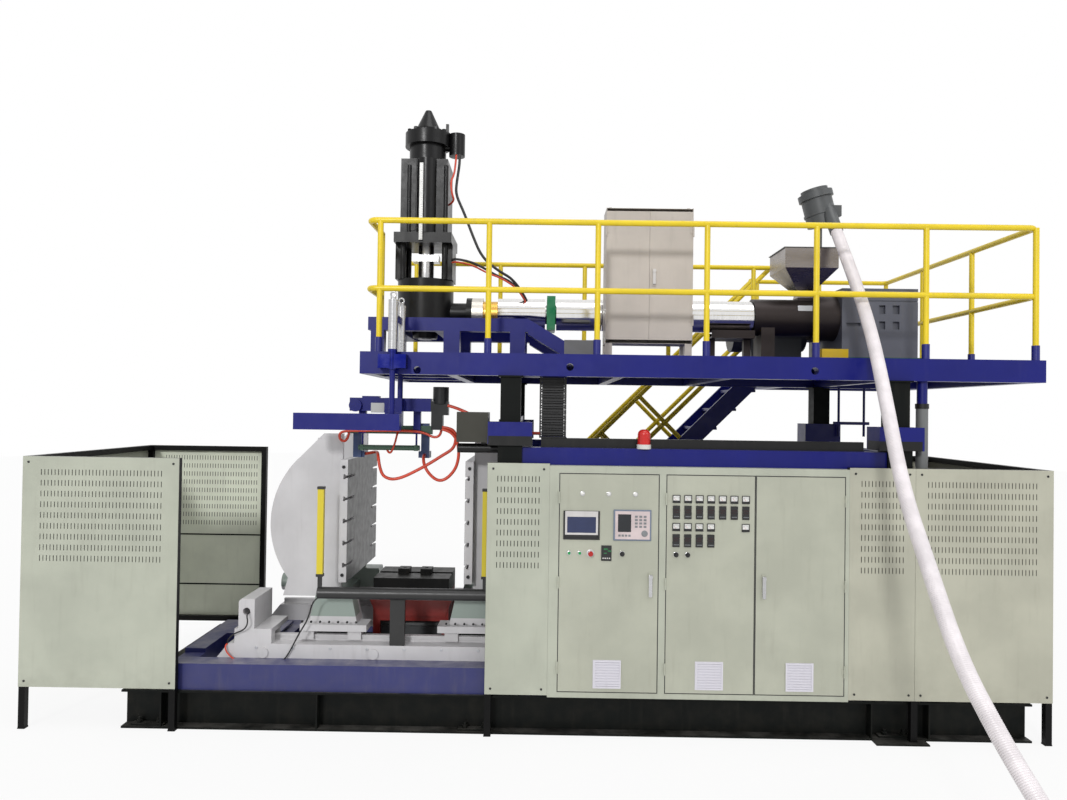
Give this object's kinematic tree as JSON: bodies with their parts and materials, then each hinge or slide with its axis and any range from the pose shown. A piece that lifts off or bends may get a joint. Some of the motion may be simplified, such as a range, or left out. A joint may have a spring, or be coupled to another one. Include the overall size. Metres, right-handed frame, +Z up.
{
  "type": "extrusion blow moulding machine",
  "caption": "Extrusion blow moulding machine with accumulator head, extruder on a railed lifting platform, closing platens, guards, control cabinet and rear stairs.",
  "frame": {"origin": "bottom centre of the bounding box of the machine without its feed hose, on the floor", "axes": "+X to the operator's right along the machine, +Y to the rear, +Z up"},
  "size_m": [8.05, 5.8109, 5.265],
  "materials": {
    "black_steel": "satin black paint",
    "hazy_blue": "gloss blue paint",
    "royal_blue": "gloss deep blue paint",
    "cream_green": "fine textured paint",
    "grey_paint": "semi gloss paint",
    "light_grey": "semi gloss paint",
    "yellow": "gloss safety yellow paint",
    "dark_red": "satin paint",
    "polished_steel": "polished sheet",
    "steel": "brushed",
    "cast": "machined and oiled",
    "plastic_black": "fine texture",
    "plastic_green": "gloss",
    "plastic_red": "gloss",
    "hose": "ribbed soft plastic",
    "galvanised": "zinc"
  },
  "bodies": {
    "machine": {"base_skid": "black_steel", "clamp_bed": "hazy_blue", "rail_beams": "light_grey", "spreader_base": "dark_red", "light_barrier": "black_steel", "hydraulics": "grey_paint", "column_frame": "hazy_blue", "beacon": "plastic_red", "guard_frames": "black_steel", "left_guard_panels": "cream_green", "right_guard_panels": "cream_green", "control_cabinet": "cream_green", "cabinet_backplates": "galvanised", "cable_carrier": "plastic_black"},
    "left_clamp": {"left_platen": "light_grey"},
    "right_clamp": {"right_platen": "light_grey"},
    "table": {"spreader_table": "plastic_black"},
    "pin_left": {"spreader_pin_left": "black_steel"},
    "pin_right": {"spreader_pin_right": "black_steel"},
    "front_door_1": {"door_1": "cream_green", "door_1_instruments": "plastic_black"},
    "front_door_2": {"door_2": "cream_green", "door_2_instruments": "plastic_black"},
    "front_door_3": {"door_3": "cream_green"},
    "swing_handle_1": {"handle_1": "steel"},
    "swing_handle_3": {"handle_3": "steel"},
    "button_1": {"start_button": "plastic_green"},
    "button_2": {"stop_button": "plastic_green"},
    "estop": {"estop_button": "plastic_red"},
    "selector": {"selector_knob": "plastic_black"},
    "dial_a": {"knob_a": "plastic_black"},
    "dial_b": {"knob_b": "plastic_black"},
    "platform": {"platform_frame": "royal_blue", "deck_plates": "royal_blue", "lift_columns": "black_steel", "handrails": "yellow", "stairs": "royal_blue", "head_stand": "royal_blue", "head_body": "black_steel", "head_tower": "black_steel", "extruder_barrel": "steel", "barrel_covers": "polished_steel", "feed_housing": "cast", "gearbox": "grey_paint", "main_motor": "grey_paint", "hopper": "steel", "feeder_head": "grey_paint", "feed_hose": "hose", "upper_cabinet": "cream_green", "grip_bracket": "steel"},
    "piston": {"head_piston": "steel"},
    "mandrel": {"die_mandrel": "steel"},
    "screw": {"extruder_screw": "steel"},
    "rotor": {"motor_rotor": "steel"},
    "upper_leaf_left": {"upper_door_left": "cream_green"},
    "upper_leaf_right": {"upper_door_right": "cream_green"},
    "upper_lever": {"upper_handle": "plastic_black"},
    "gripper": {"grip_frame": "royal_blue"},
    "jaw_left": {"grip_jaw_left": "hazy_blue"},
    "jaw_right": {"grip_jaw_right": "hazy_blue"}
  },
  "joints": [
    {"name": "platform_lift", "type": "slide", "parent": "machine", "child": "platform", "axis": [0, 0, 1], "range_m": [0, 0.3], "deforming": ["cable_carrier"]},
    {"name": "left_platen_slide", "type": "slide", "parent": "machine", "child": "left_clamp", "axis": [1, 0, 0], "range_m": [0, 0.24]},
    {"name": "right_platen_slide", "type": "slide", "parent": "machine", "child": "right_clamp", "axis": [-1, 0, 0], "range_m": [0, 0.24]},
    {"name": "spreader_lift", "type": "slide", "parent": "machine", "child": "table", "axis": [0, 0, 1], "range_m": [0, 0.025]},
    {"name": "pin_left_slide", "type": "slide", "parent": "table", "child": "pin_left", "axis": [-1, 0, 0], "range_m": [0, 0.08]},
    {"name": "pin_right_slide", "type": "slide", "parent": "table", "child": "pin_right", "axis": [1, 0, 0], "range_m": [0, 0.08]},
    {"name": "door_1_hinge", "type": "hinge", "parent": "machine", "child": "front_door_1", "pos_m": [0.183, -1.447, 1.2], "axis": [0, 0, -1], "range_deg": [0, 110]},
    {"name": "door_2_hinge", "type": "hinge", "parent": "machine", "child": "front_door_2", "pos_m": [1.018, -1.447, 1.2], "axis": [0, 0, -1], "range_deg": [0, 95]},
    {"name": "door_3_hinge", "type": "hinge", "parent": "machine", "child": "front_door_3", "pos_m": [2.414, -1.447, 1.2], "axis": [0, 0, 1], "range_deg": [0, 90]},
    {"name": "handle_1_turn", "type": "hinge", "parent": "front_door_1", "child": "swing_handle_1", "pos_m": [0.9, -1.46, 1.261], "axis": [0, 1, 0], "range_deg": [0, 90]},
    {"name": "handle_3_turn", "type": "hinge", "parent": "front_door_3", "child": "swing_handle_3", "pos_m": [1.78, -1.46, 1.261], "axis": [0, -1, 0], "range_deg": [0, 90]},
    {"name": "start_button_press", "type": "slide", "parent": "front_door_1", "child": "button_1", "axis": [0, 1, 0], "range_m": [0, 0.004], "stiffness_N_per_m": 500},
    {"name": "stop_button_press", "type": "slide", "parent": "front_door_1", "child": "button_2", "axis": [0, 1, 0], "range_m": [0, 0.004], "stiffness_N_per_m": 500},
    {"name": "estop_press", "type": "slide", "parent": "front_door_1", "child": "estop", "axis": [0, 1, 0], "range_m": [0, 0.004]},
    {"name": "selector_turn", "type": "hinge", "parent": "front_door_1", "child": "selector", "pos_m": [0.678, -1.45, 1.437], "axis": [0, -1, 0], "range_deg": [-45, 45]},
    {"name": "knob_a_turn", "type": "hinge", "parent": "front_door_2", "child": "dial_a", "pos_m": [1.097, -1.45, 1.437], "axis": [0, -1, 0], "range_deg": [-135, 135]},
    {"name": "knob_b_turn", "type": "hinge", "parent": "front_door_2", "child": "dial_b", "pos_m": [1.187, -1.45, 1.437], "axis": [0, -1, 0], "range_deg": [-135, 135]},
    {"name": "piston_slide", "type": "slide", "parent": "platform", "child": "piston", "axis": [0, 0, -1], "range_m": [0, 0.15]},
    {"name": "mandrel_slide", "type": "slide", "parent": "platform", "child": "mandrel", "axis": [0, 0, -1], "range_m": [0, 0.02]},
    {"name": "screw_turn", "type": "hinge", "parent": "platform", "child": "screw", "pos_m": [1, -0.42, 3.415], "axis": [1, 0, 0], "continuous": true},
    {"name": "rotor_turn", "type": "hinge", "parent": "platform", "child": "rotor", "pos_m": [2.6, 0.21, 3.33], "axis": [1, 0, 0], "continuous": true},
    {"name": "upper_left_hinge", "type": "hinge", "parent": "platform", "child": "upper_leaf_left", "pos_m": [0.571, -0.904, 3.7], "axis": [0, 0, -1], "range_deg": [0, 90]},
    {"name": "upper_right_hinge", "type": "hinge", "parent": "platform", "child": "upper_leaf_right", "pos_m": [1.31, -0.904, 3.7], "axis": [0, 0, 1], "range_deg": [0, 90]},
    {"name": "upper_handle_turn", "type": "hinge", "parent": "upper_leaf_right", "child": "upper_lever", "pos_m": [0.979, -0.91, 3.7425], "axis": [0, -1, 0], "range_deg": [0, 90]},
    {"name": "grip_lift", "type": "slide", "parent": "platform", "child": "gripper", "axis": [0, 0, 1], "range_m": [0, 0.17]},
    {"name": "jaw_left_slide", "type": "slide", "parent": "gripper", "child": "jaw_left", "axis": [1, 0, 0], "range_m": [0, 0.18]},
    {"name": "jaw_right_slide", "type": "slide", "parent": "gripper", "child": "jaw_right", "axis": [-1, 0, 0], "range_m": [0, 0.18]}
  ],
  "couplings": [
    {"joint": "right_platen_slide", "follows": "left_platen_slide", "ratio": 1},
    {"joint": "pin_right_slide", "follows": "pin_left_slide", "ratio": 1},
    {"joint": "rotor_turn", "follows": "screw_turn", "ratio": 18},
    {"joint": "jaw_right_slide", "follows": "jaw_left_slide", "ratio": 1}
  ]
}
